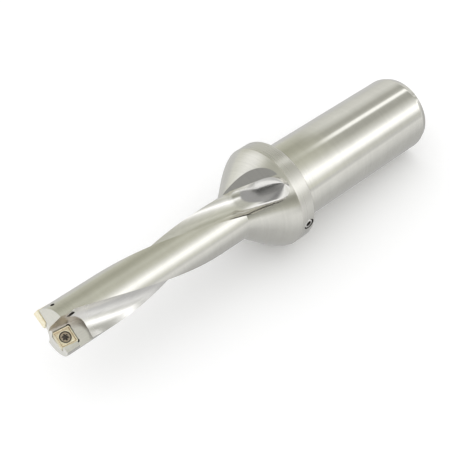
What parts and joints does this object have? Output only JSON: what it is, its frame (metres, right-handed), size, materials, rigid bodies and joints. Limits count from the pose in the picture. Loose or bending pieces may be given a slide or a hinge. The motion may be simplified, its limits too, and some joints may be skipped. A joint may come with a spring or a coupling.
{
  "type": "indexable drill",
  "caption": "Straight-shank indexable drill with a flange, helical chip flutes and square screw-on inserts at the tip.",
  "frame": {"origin": "centre of the shank's rear face, on the drill's axis, so that the drill stands upright on its shank", "axes": "+Z along the drill's axis from the shank to the tip, +X from the axis towards the inner insert, +Y out of the inner insert's rake face"},
  "size_m": [0.033, 0.033, 0.1437],
  "materials": {
    "ground_steel": "satin ground steel, bare",
    "insert_coating": "pale gold coating on carbide",
    "screw_steel": "dark blackened steel"
  },
  "bodies": {
    "root": {"drill_body": "ground_steel", "inner_insert": "insert_coating", "outer_insert": "insert_coating", "inner_insert_screw": "screw_steel", "outer_insert_screw": "screw_steel", "flange_plug_screw": "screw_steel"}
  },
  "joints": []
}
